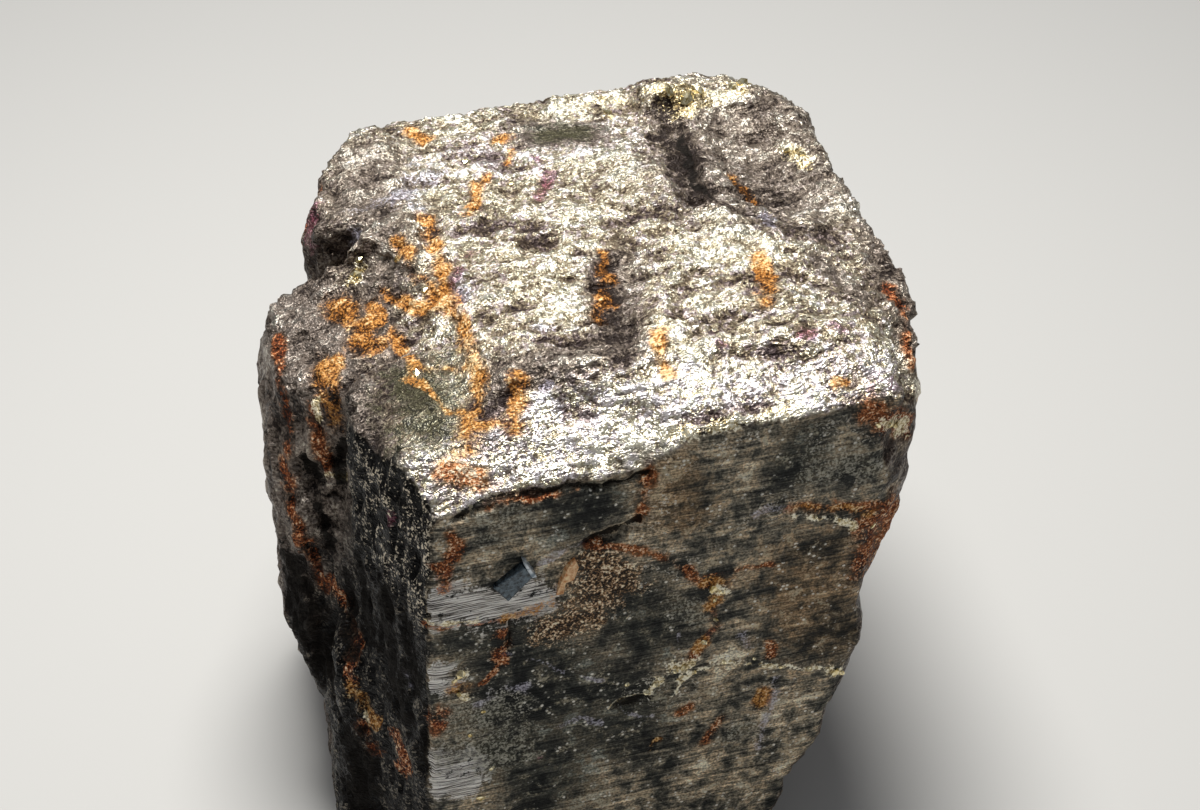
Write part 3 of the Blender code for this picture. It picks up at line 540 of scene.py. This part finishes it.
def carveStone(mesh):
    places, outward = meshPlaces(mesh)
    block = places / mm - np.array(frontEdge)
    size, change = stone["wander"]
    wander = change * noiseField(block, size, 2)
    up, front, left, rest = zones(block, outward, wander)
    masks = markMasks(mesh, block)
    crown, side, broken, beds = zoneRelief(block, masks)

    rough = up * crown + left * side + rest * broken
    move = rough + front * beds
    onFront = front * fade(-block[:, 1], "frontWhole")
    for kind, depth in carvedMarks.items():
        move -= depth * ease(masks[kind], *stone["markEdge"]) * np.maximum(
            onFront, stone["offFront"] * np.maximum(up, left))
    places += outward * (move * ease(places[:, 2] / mm, *stone["foot"]) * mm)[:, None]
    places[:, 2] = np.maximum(places[:, 2], 0.0)
    mesh.vertices.foreach_set("co", places.ravel())
    mesh.update()

    onSlab = fade(-block[:, 0], "slab")
    # the loose slab wears a dull crust on its outer face too
    outer = onSlab * fade(block[:, 1], "slabFront") * fade(block[:, 1], "slabBack")
    most, reach = stone["slabCrust"]
    crusted = np.maximum(up, most * outer * fade(block[:, 2] + reach * wander, "slabUp"))
    # grains glint on the left side near the front corner, and thinly everywhere else
    glitter = stone["glitter"] * (1.0 - front)
    glitter += left * fade(-block[:, 1], "glitterNear") * fade(block[:, 2], "glitterUp")
    for kind in ("striped", "coppery", "scaly", "cool", "warm", "webbed"):
        masks[kind] *= front
    masks.update({
        # side marks the left side near the front, which the body colour paints darker as shade
        "crown": crusted, "side": left * fade(-block[:, 1], "sideNear"), "front": front,
        # relief paints raised parts lighter and hollows darker, as light and shade
        "relief": np.clip(0.5 + stone["shine"] * rough, 0.0, 1.0),
        "glitter": np.minimum(glitter, 1.0) * (1.0 - crusted), "slab": onSlab,
    })
    for name, mask in masks.items():
        mesh.attributes.new(name, "FLOAT", "POINT").data.foreach_set("value", mask.astype(np.float32))


# broken iron-rich stone with a crust of sulphide grains: a dark, half-metallic body, brassy grains that glint
# each on its own, and matt iron rust in the cracks
stoneLook = {
    "grain": 0.50,  # mm, the crown's grains
    "facet": 0.85,  # mm, the little faces that lean their own way
    "mottle": 3.0,  # mm, clots of darker and lighter grains
    "cloud": 13.0,  # mm, wide changes of tone
    "leaf": (7.0, 1.5, 1.8),  # mm, wavy streaks along the crown
    "beds": (22.0, 22.0, 0.9),  # mm, level beds on the front
    "scratch": (7.0, 7.0, 0.24),  # mm, fine level scratches on the front
    "wobble": (0.22, 4.0),  # waves per mm, and mm: how the streaks and clots bend
    "lightFloor": 0.6,  # how dark the front may get
    "lightContrast": 2.2,  # and how fast it brightens from there
    "through": (0.34, 0.54, 0.45),  # grains dark enough to show through rust, and the rust left on them
    "metal": (0.2, 0.6, 0.35, 0.95),  # from a dark grain to a pale one
    "roughness": (0.30, 0.52, 0.42, 0.80),  # the crust's least and most, the front's, the rust's
    "brassy": [(0.05, "#352B24"), (0.26, "#6B5D4B"), (0.44, "#9D9078"), (0.62, "#CBC2A7"), (0.86, "#F7F2DD")],
    "violet": [(0.05, "#332929"), (0.26, "#6A5B59"), (0.46, "#998B88"), (0.66, "#C4B9B5"), (0.88, "#F5EEF0")],
    "dull": [(0.02, "#2E2723"), (0.22, "#655A50"), (0.48, "#90847A"), (0.72, "#B3A99C"), (0.95, "#E3DCCD")],
    "face": [(0.32, "#1C1D1B"), (0.41, "#3F3D36"), (0.50, "#6A6355"), (0.58, "#8A7A63"), (0.70, "#B5AE9A")],
    "broken": [(0.24, "#050404"), (0.38, "#14110F"), (0.50, "#372D27"), (0.60, "#5F5148"), (0.74, "#8F8276")],
    "ochre": [(0.22, "#573617"), (0.40, "#A4682C"), (0.58, "#D3974E"), (0.82, "#F7DDAA")],
    "rust": [(0.26, "#2A140C"), (0.42, "#74361C"), (0.56, "#AE6236"), (0.68, "#DBA476"), (0.82, "#F8E2C2")],
    "blood": [(0.25, "#33151C"), (0.55, "#743244"), (0.80, "#B08494")],
    "lilac": [(0.25, "#6D6874"), (0.55, "#ACA7B6"), (0.80, "#E4E2EE")],
    "bright": [(0.25, "#917E58"), (0.42, "#DBC99C"), (0.62, "#FFF9E4")],
    "smooth": "#45432F",
    "coppery": [(0.32, "#17120F"), (0.45, "#4E3A2A"), (0.56, "#93704E"), (0.66, "#D8B68E"),
                (0.76, "#FFF3D6")],
    # the pale end of the strips is a painted sheen
    "striped": [(0.40, "#2E2B29"), (0.46, "#85807B"), (0.51, "#E6E1DA"), (0.57, "#FFFDF8")],
    "scaly": [(0.34, "#34332B"), (0.50, "#6A685A"), (0.66, "#B5B2A2")],
    "cool": "#7E878E",
    "warm": "#D2C3B3",
    "blot": "#B0A78F",
    "thread": "#D8D3C4",
    # painted sparkles on the front
    "spark": "#F4F0E4",
    # near black for the cracks, and for the painted shade on the left side, the slab and the groove
    "dark": "#120E0A",
    "stain": "#C48C50",
    "glint": "#D9CDB8",
}
# nearness at which a mark starts and is whole, and how much it covers
markEdges = {
    "smooth": (0.50, 0.85, 0.85), "coppery": (0.50, 0.80, 0.95), "striped": (0.48, 0.70, 0.9),
    "scaly": (0.50, 0.90, 0.7), "lilac": (0.58, 1.0, 0.65), "blood": (0.55, 0.95, 0.8),
    "rust": (0.50, 0.90, 0.95), "ochre": (0.48, 0.92, 0.88), "bright": (0.58, 0.80, 0.95),
    "dark": (0.60, 0.75, 0.95),
}
# Steps from field to field. Names alone are multiplied together. After one name come the two values between
# which it is eased from 0 to 1, or to a third number. After a number come the weights of what is added to it.
crustSteps = {
    # the brow marks lift the crust's tone and hue as a painted highlight
    "highlightTone": ("paintedHighlight", 0.45, 0.9),
    "dullTone": ("dull", 0.35, 0.9),
    "shadeTone": ("shade", 0.4, 0.85),
    "tone": (-2.08, {"grain": 1.25, "leaf": 1.20, "mottle": 0.95, "cloud": 1.15, "tintA": 0.26,
                     "relief": 0.45, "highlightTone": 0.18, "dullTone": -0.16, "slab": -0.20,
                     "shadeTone": -0.32}),
    "highlightHue": ("paintedHighlight", 0.4, 0.9),
    "hueSum": (0.0, {"highlightHue": 0.22, "mottle": 0.7, "cloud": -0.5, "tintB": 0.6, "shade": 0.15}),
    "hue": ("hueSum", 0.38, 0.82),
    "dullCrust": ("dull", 0.3, 0.9, 0.85),
}
faceSteps = {
    "blotch": (-0.40, {"cloud": 0.70, "mottle": 0.80, "beds": 0.30}),
    "coolSum": (-0.5, {"cool": 1.0, "mottle": 1.0}),
    "coolPatch": ("coolSum", 0.2, 0.8),
    "warmSum": (-0.5, {"warm": 1.0, "mottle": 1.0}),
    "warmPatch": ("warmSum", 0.2, 0.8),
    "light": (-1.46, {"beds": 1.3, "scratch": 1.9, "grain": 2.3}),
    "blotSum": (0.0, {"mottle": 0.65, "grain": 0.35}),
    "blot": ("blotSum", 0.56, 0.66, 0.75),
    "onLine": ("line", 0.022, 0.006),
    "web": ("webbed", 0.35, 0.8),
    "threadGrain": ("grain", 0.46, 0.60),
    "thread": ("onLine", "web", "threadGrain"),
    # painted sparkles: a few clean grains on the front are painted near-white, as if they caught the light
    "nearSum": (0.0, {"distance": 1.0, "grain": 0.5}),
    "near": ("nearSum", 0.72, 0.50),
    "few": ("tintC", 0.72, 0.80),
    "clots": ("mottle", 0.48, 0.58, 0.9),
    "spark": ("near", "few", "clots"),
}
markSteps = {
    # painted shade: the side mask darkens the left side near the front; relief paints raised parts lighter
    # and hollows darker
    "brokenTone": (-0.06, {"grain": 0.45, "mottle": 0.32, "cloud": 0.25, "relief": 0.24, "side": -0.38}),
    "ragged": (-1.10, {"mottle": 1.35, "grain": 0.85}),
    "stainSum": (-0.45, {"iron": 1.0, "mottle": 0.9}),
    "stain": ("stainSum", 0.25, 0.85, 0.85),
    "gritty": (-0.38, {"grain": 1.4, "tintA": 0.34}),
    "crustCoat": (-0.04, {"tone": 0.6, "grain": 0.5}),
    "throughSum": (0.0, {"grain": 0.8, "tintA": 0.2}),
}
bareSteps = {
    "bare": (1.0, {"rusty": -1.0}),
    "glintSum": (0.0, {"grain": 1.0, "relief": 0.30, "tintC": 0.22}),
    "glintGrain": ("glintSum", 0.84, 0.94),
    "glint": ("glintGrain", "glitter", "bare"),
    "crustMetal": ("metalTone", "crown", "bare"),
    "frontSpark": ("spark", "front", "bare"),
}
reliefSteps = {
    "metal": (0.0, {"shiny": 1.0, "stripedSpread": 0.35, "copperySpread": 0.2, "frontSpark": 0.2}),
    "crumbly": (1.0, {"front": -0.92}),
    "fineSum": (0.0, {"tilt": 0.75, "grain": 0.45, "leaf": 1.5}),
    "fine": ("fineSum", "crumbly"),
    "levelSum": (0.0, {"beds": 0.45, "scratch": 0.22}),
    "level": ("levelSum", "front"),
    "height": (0.0, {"fine": 1.0, "level": 1.0}),
}


def addSteps(tree, fields, steps):
    for name, (first, *rest) in steps.items():
        total = fields.get(first, first)
        if isinstance(first, float):
            for part, weight in rest[0].items():
                total = addNode(tree, "Math", (fields[part], weight, total), operation="MULTIPLY_ADD")
        elif isinstance(rest[0], str):
            for part in rest:
                total = addNode(tree, "Math", (total, fields[part]), **multiply)
        else:
            low, high, top = (*rest, 1.0)[:3]
            total = addNode(tree, "MapRange", (total, low, high, 0.0, top), **smoothStep)
        fields[name] = total


def stoneFields(tree):
    look = stoneLook
    coords = addNode(tree, "TexCoord", (), out="Object")
    block = addNode(tree, "Mapping", {0: coords, 1: tuple(-frontEdge), 3: (1000.0, 1000.0, 1000.0)})
    pace, reach = look["wobble"]
    wobble = addNode(tree, "TexNoise", {"Vector": block, "Scale": pace, "Detail": 1.0}, out=1)
    bent = addNode(tree, "VectorMath", (wobble, (reach, reach, reach), block), operation="MULTIPLY_ADD")
    fields = {"block": block}
    for name, places, tip in (("leaf", bent, 0.0), ("beds", block, 6.0), ("scratch", block, 6.0)):  # degrees
        places = addNode(tree, "Mapping", {0: places, 2: (0.0, radians(tip), 0.0),
                                           3: tuple(1.0 / part for part in look[name])})
        fields[name] = addNode(tree, "TexNoise", {"Vector": places, "Scale": 1.0, "Detail": 3.0,
                                                  "Roughness": 0.6})
    for name, places, detail in (("grain", block, 1.5), ("mottle", bent, 3.0), ("cloud", block, 2.0)):
        fields[name] = addNode(tree, "TexNoise", {"Vector": places, "Scale": 1.0 / look[name],
                                                  "Detail": detail, "Roughness": 0.6})
    cells = addNode(tree, "TexVoronoi", {"Vector": block, "Scale": 1.0 / look["facet"]}, out=None).outputs
    tint = addNode(tree, "SeparateColor", (cells["Color"],), out=None).outputs
    fields.update({"distance": cells["Distance"], "cellPlace": cells["Position"], "cellTint": cells["Color"],
                   "tintA": tint[0], "tintB": tint[1], "tintC": tint[2]})
    for name in ("crown", "side", "front", "relief", "glitter", "slab", *marks):
        fields[name] = addNode(tree, "Attribute", (), out="Fac", attribute_name=name)
    return fields


def crustColour(tree, fields):
    # grains clot together and lie in wavy streaks, brass-yellow here and violet-grey there
    addSteps(tree, fields, crustSteps)
    brassy, violet, dull = [addNode(tree, "ValToRGB", (fields["tone"],), stops=stoneLook[kind])
                            for kind in ("brassy", "violet", "dull")]
    crust = addNode(tree, "Mix", {0: fields["hue"], 6: brassy, 7: violet}, **colourMix)
    dullness = addNode(tree, "Math", (fields["dullCrust"], fields["slab"]), **greatest)
    return addNode(tree, "Mix", {0: dullness, 6: crust, 7: dull}, **colourMix)


def faceColour(tree, fields):
    # dark cleavage: brown, olive and cool patches, level beds and scratches, pale blots and threads, and
    # painted sparkles
    look = stoneLook
    line = addNode(tree, "Math", (fields["mottle"], 0.5), operation="SUBTRACT")
    fields["line"] = addNode(tree, "Math", (line,), operation="ABSOLUTE")
    addSteps(tree, fields, faceSteps)
    face = addNode(tree, "ValToRGB", (fields["blotch"],), stops=look["face"])
    for kind in ("cool", "warm"):
        tinted = addNode(tree, "Mix", {0: 1.0, 6: face, 7: linearColour(look[kind])}, **tintMix)
        face = addNode(tree, "Mix", {0: fields[kind + "Patch"], 6: face, 7: tinted}, **colourMix)
    light = addNode(tree, "Math", (fields["light"], look["lightFloor"]), **greatest)
    light = addNode(tree, "Math", (light, look["lightContrast"]), operation="POWER")
    face = addNode(tree, "VectorMath", {0: face, 3: light}, operation="SCALE")
    for kind in ("blot", "spark", "thread"):
        face = addNode(tree, "Mix", {0: fields[kind], 6: face, 7: linearColour(look[kind])}, **colourMix)
    return face


def markedColour(tree, fields, base):
    # marks break up at their edges, and follow the grain below them
    look = stoneLook
    for kind, (low, high, top) in markEdges.items():
        edge = addNode(tree, "Math", (fields[kind], fields["ragged"]), operation="ADD")
        fields[kind + "Spread"] = addNode(tree, "MapRange", (edge, low, high, 0.0, top), **smoothStep)
    stained = addNode(tree, "Mix", {0: 1.0, 6: base, 7: linearColour(look["stain"])}, **tintMix)
    base = addNode(tree, "Mix", {0: fields["stain"], 6: base, 7: stained}, **colourMix)
    through = addNode(tree, "MapRange", (fields["throughSum"], *look["through"], 1.0))
    for kind in ("ochre", "rust", "lilac", "blood"):
        fields[kind + "Spread"] = addNode(tree, "Math", (fields[kind + "Spread"], through), **multiply)
    coat = addNode(tree, "Mix", {0: fields["crown"], 2: fields["gritty"], 3: fields["crustCoat"]})
    grains = {"coppery": fields["gritty"], "striped": fields["scratch"], "scaly": fields["gritty"]}
    for kind in markEdges:
        colour = look[kind]
        if isinstance(colour, str):
            colour = linearColour(colour)
        else:
            colour = addNode(tree, "ValToRGB", (grains.get(kind, coat),), stops=colour)
        base = addNode(tree, "Mix", {0: fields[kind + "Spread"], 6: base, 7: colour}, **colourMix)
    return base


def stoneMaterial():
    material, tree = newMaterial("sulphideCrustedStone")
    tree.nodes.clear()
    look = stoneLook
    fields = stoneFields(tree)
    crust, face = crustColour(tree, fields), faceColour(tree, fields)
    fields["iron"] = addNode(tree, "Math", (fields["rust"], fields["ochre"]), **greatest)
    addSteps(tree, fields, markSteps)
    body = addNode(tree, "ValToRGB", (fields["brokenTone"],), stops=look["broken"])
    base = addNode(tree, "Mix", {0: fields["crown"], 6: body, 7: crust}, **colourMix)
    base = addNode(tree, "Mix", {0: fields["front"], 6: base, 7: face}, **colourMix)
    base = markedColour(tree, fields, base)

    # single grains glint where the stone is bare, and the bare crust is metallic
    rusty = addNode(tree, "Math", (fields["rustSpread"], fields["ochreSpread"]), **greatest)
    fields["rusty"] = addNode(tree, "Math", (rusty, fields["darkSpread"]), **greatest)
    fields["metalTone"] = addNode(tree, "MapRange", (fields["tone"], *look["metal"]))
    addSteps(tree, fields, bareSteps)
    base = addNode(tree, "Mix", {0: fields["glint"], 6: base, 7: linearColour(look["glint"])}, **colourMix)
    shiny = addNode(tree, "Math", (fields["brightSpread"], fields["glint"]), **greatest)
    fields["shiny"] = addNode(tree, "Math", (fields["crustMetal"], shiny), **greatest)
    crustFrom, crustTo, front, rust = look["roughness"]
    rough = addNode(tree, "MapRange", (fields["tintB"], 0.0, 1.0, crustFrom, crustTo))
    rough = addNode(tree, "Mix", {0: fields["front"], 2: rough, 3: front})
    rough = addNode(tree, "Mix", {0: fields["rusty"], 2: rough, 3: rust})

    # relief too fine for the mesh: every little face of the crust leans its own way
    away = addNode(tree, "VectorMath", (fields["block"], fields["cellPlace"]), operation="SUBTRACT")
    lean = addNode(tree, "VectorMath", (fields["cellTint"], (0.5, 0.5, 0.5)), operation="SUBTRACT")
    fields["tilt"] = addNode(tree, "VectorMath", (away, lean), out="Value", operation="DOT_PRODUCT")
    addSteps(tree, fields, reliefSteps)
    bump = addNode(tree, "Bump", {"Height": fields["height"], "Strength": 1.0, "Distance": mm})
    shader = addNode(tree, "BsdfPrincipled", {"Base Color": base, "Metallic": fields["metal"],
                                              "Roughness": rough, "Specular IOR Level": 0.12, "Normal": bump})
    addNode(tree, "OutputMaterial", (shader,), out=None)
    return material


surface = evenNet(copyOfNode(stone["node"]), stone["net"] * mm)
softenAndRefine(surface)
carveStone(surface)
stonePiece = newPiece("stoneSurface", surface, stoneMaterial())
surface.shade_smooth()
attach(stonePiece, "root")
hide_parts("meteorite")
triangles = sum(len(f.vertices) - 2 for f in surface.polygons)
print("stone carved:", len(surface.vertices), "points", triangles, "triangles")

# single crystals and lumps that stand out of the surface
outcrops = {
    # corners as x and z, and how proud each stands
    "crystal": {
        "corners": [(-36.2, -26.6, 0.9), (-30.6, -22.2, 1.9), (-28.3, -24.9, 1.4), (-33.4, -31.4, 0.5)],
        "sunk": 1.6, "bevel": 0.24,
    },
    "crystalRidge": {
        "corners": [(-30.7, -21.0, 2.2), (-29.9, -21.6, 2.3), (-28.2, -25.4, 1.7), (-29.2, -25.3, 1.9)],
        "sunk": 1.6, "bevel": 0.16,
    },
    "rustChip": {
        "corners": [(-20.9, -24.0, 0.7), (-20.3, -26.0, 1.0), (-21.3, -28.4, 1.3), (-22.6, -30.0, 0.5),
                    (-23.2, -31.9, 0.9), (-24.5, -32.3, 0.4), (-23.6, -28.6, 1.2), (-22.4, -25.6, 1.0)],
        "sunk": 1.2, "bevel": 0.1,
    },
}
lumps = {
    # x and z on the front, then how big
    "front": [
        (-42.7, -48.7, 1.3), (-44.0, -50.2, 0.8), (-5.2, -62.7, 1.0), (-7.0, -64.2, 0.8), (-10.9, -61.1, 0.7),
        (-41.6, -66.6, 0.7), (-37.7, -77.3, 0.8), (-40.4, -85.5, 1.0), (31.5, -69.8, 1.3), (33.0, -71.0, 0.9),
        (14.5, -61.1, 0.6), (4.2, -53.6, 0.8), (6.2, -47.8, 0.7), (0.2, -59.3, 1.0), (-1.3, -60.0, 0.7),
        (5.4, -39.0, 1.1), (7.3, -40.7, 0.9), (6.0, -42.6, 0.7), (2.4, -61.0, 0.6), (8.2, -60.1, 0.7),
        (20.0, -64.9, 0.5), (25.8, -66.9, 0.6), (-43.4, -54.2, 0.8), (-38.9, -60.7, 0.6), (24.6, -25.4, 0.6),
        (29.6, -27.4, 0.6), (36.4, -31.4, 0.8), (38.0, -7.0, 1.1), (40.0, -9.5, 0.9), (35.0, -5.0, 0.8)],
    # x and y on the crown, then how big
    "crown": [
        (24.0, 96.0, 1.6), (27.5, 94.0, 2.0), (30.5, 96.5, 1.6), (40.5, 98.0, 1.6), (38.0, 96.5, 1.0),
        (45.5, 74.0, 1.1), (43.5, 77.0, 0.9), (-47.0, 64.0, 1.6), (-46.0, 66.0, 1.1), (-42.5, 29.0, 0.9),
        (-36.5, 50.0, 1.0), (-39.5, 60.5, 1.2), (-20.0, 88.0, 1.0), (-13.5, 78.0, 0.9), (12.0, 99.0, 1.2)],
    "shape": (1.0, 0.75, 0.62),  # length, width and how far a lump stands out
    "jag": (0.35, 0.8),  # how far its points stand out, and how wide they are, against its size
}
backwards = Vector((0.0, 1.0, 0.0))
down = Vector((0.0, 0.0, -1.0))


def seatOn(surfaceTree, place, ahead):
    # where a line from a place outside the stone meets it, and which way the stone faces there
    return surfaceTree.ray_cast((frontEdge + Vector(place)) * mm, ahead)[:2]


def crystalMesh(name, surfaceTree, shape):
    block = bmesh.new()
    near, far = [], []
    for x, z, proud in shape["corners"]:
        ground = seatOn(surfaceTree, (x, -20.0, z), backwards)[0]
        near.append(block.verts.new(ground + Vector((0.0, -proud, 0.0)) * mm))
        far.append(block.verts.new(ground + Vector((0.0, shape["sunk"], 0.0)) * mm))
    block.faces.new(near)
    block.faces.new(far[::-1])
    for i, corner in enumerate(near):
        block.faces.new((corner, far[i], far[i - 1], near[i - 1]))
    bmesh.ops.recalc_face_normals(block, faces=block.faces)
    bmesh.ops.triangulate(block, faces=[f for f in block.faces if len(f.verts) > 3])
    bmesh.ops.dissolve_limit(block, angle_limit=radians(4.0), verts=block.verts, edges=block.edges)
    bmesh.ops.bevel(block, geom=block.edges[:], offset=shape["bevel"] * mm, segments=2, profile=0.5,
                    affect="EDGES", material=-1, clamp_overlap=True)
    return meshFrom(name, block)


def lumpMesh(name, seats):
    # each lump is a little jagged grain, squashed on to the stone
    grains = bmesh.new()
    out, wide = lumps["jag"]
    for ground, outward, size in seats:
        turn = outward.to_track_quat("Z", "Y").to_matrix().to_4x4()
        shape = Matrix.Diagonal((*lumps["shape"], 1.0))
        spin = Matrix.Rotation(2.0 * pi * noise.cell(ground / mm), 4, "Z")
        made = bmesh.ops.create_icosphere(grains, subdivisions=1, radius=size * mm,
                                          matrix=Matrix.Translation(ground) @ turn @ spin @ shape)["verts"]
        for vert in made:
            vert.co += out * size * mm * noise.noise_vector(vert.co / (wide * size * mm))
    return meshFrom(name, grains)


grainScale = 1100.0  # waves per metre, so the grains are about 1 mm wide
outcropLooks = {  # darkest and palest colour, roughness, how metallic
    "crystal": ("slateBlueCrystal", "#1B2227", "#5B6973", 0.22, 0.6),  # glassy, near black, bluish
    "crystalRidge": ("paleSplitCrystal", "#6F7F8C", "#DDE4EA", 0.25, 0.4),  # its pale, sharp split edge
    "rustChip": ("ironRustFlake", "#C8762E", "#FFE0B0", 0.45, 0.1),  # matt orange flake
    "freshLumps": ("freshBrassySulphide", "#B39A58", "#FFF6D2", 0.26, 1.0),  # untarnished, brass-bright
}


def grainyMaterial(name, darkest, palest, roughness, metallic):
    material, tree = newMaterial(name)
    coords = addNode(tree, "TexCoord", (), out="Object")
    grain = addNode(tree, "TexNoise", {"Vector": coords, "Scale": grainScale, "Detail": 3.0,
                                       "Roughness": 0.7})
    colour = addNode(tree, "ValToRGB", (grain,), stops=[(0.36, darkest), (0.64, palest)])
    inputs = tree.nodes["Principled BSDF"].inputs
    tree.links.new(colour, inputs["Base Color"])
    inputs["Roughness"].default_value = roughness
    inputs["Metallic"].default_value = metallic
    return material


carvedTree = BVHTree.FromPolygons([v.co for v in surface.vertices], [f.vertices for f in surface.polygons])
outcropMeshes = {name: crystalMesh(name, carvedTree, shape) for name, shape in outcrops.items()}
seats = [(*seatOn(carvedTree, (x, -20.0, z), backwards), size) for x, z, size in lumps["front"]]
seats += [(*seatOn(carvedTree, (x, y, 30.0), down), size) for x, y, size in lumps["crown"]]
outcropMeshes["freshLumps"] = lumpMesh("freshLumps", seats)
for name, mesh in outcropMeshes.items():
    piece = newPiece(name, mesh, grainyMaterial(*outcropLooks[name]))
    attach(piece, "root")
print("outcrops set:", len(seats), "lumps")

studio = {
    "floor": "#BDBBB6",  # pale matt paper: even, and without gloss
    "floorSize": 3.0,  # m, half its width
    "floorDrop": 0.2,  # mm below the stone
    "floorRoughness": 0.9,
    "worldGrey": "#B9BCC2",
    "worldStrength": 0.42,
    "lamp": {"place": (-10, 85, 640), "aim": (0, 0, 90), "size": 0.26, "watts": 6.0},  # mm, but m across
}
cameraSetup = {
    "place": (-82.9, -337.6, 395.7),  # mm
    "pitch": 42.0,  # degrees below level
    "turn": 15.0,  # degrees, so the stone is seen a little from its left
    "lens": 70.0,  # mm
    "sensor": 36.0,  # mm
    "nearest": 20.0,  # mm, where the view starts
}

floorNet = bmesh.new()
bmesh.ops.create_grid(floorNet, x_segments=1, y_segments=1, size=studio["floorSize"],
                      matrix=Matrix.Translation((0, 0, -studio["floorDrop"] * mm)))
floorMaterial, floorTree = newMaterial("paleMattFloor")
floorInputs = floorTree.nodes["Principled BSDF"].inputs
floorInputs["Base Color"].default_value = linearColour(studio["floor"])
floorInputs["Roughness"].default_value = studio["floorRoughness"]
newPiece("floor", meshFrom("floor", floorNet), floorMaterial)

world = bpy.data.worlds.new("studioWorld")
scene.world = world
world.use_nodes = True
sky = world.node_tree.nodes["Background"].inputs
sky["Color"].default_value = linearColour(studio["worldGrey"])
sky["Strength"].default_value = studio["worldStrength"]

lamp = studio["lamp"]
light = bpy.data.lights.new("overhead", "AREA")
light.shape = "DISK"
light.size = lamp["size"]
light.energy = lamp["watts"]
lampHolder = bpy.data.objects.new("overhead", light)
scene.collection.objects.link(lampHolder)
lampHolder.location = Vector(lamp["place"]) * mm
aim = Vector(lamp["aim"]) * mm - lampHolder.location
lampHolder.rotation_euler = aim.to_track_quat("-Z", "Y").to_euler()

pitch, turn = radians(cameraSetup["pitch"]), radians(cameraSetup["turn"])
lens = bpy.data.cameras.new("camera")
lens.lens = cameraSetup["lens"]
lens.sensor_width = cameraSetup["sensor"]
lens.clip_start = cameraSetup["nearest"] * mm
camera = bpy.data.objects.new("camera", lens)
scene.collection.objects.link(camera)
camera.location = Vector(cameraSetup["place"]) * mm
ahead = Vector((sin(turn) * cos(pitch), cos(turn) * cos(pitch), -sin(pitch)))
camera.rotation_euler = ahead.to_track_quat("-Z", "Y").to_euler()
scene.camera = camera
scene.view_settings.view_transform = "Standard"
print("floor, light and camera set")
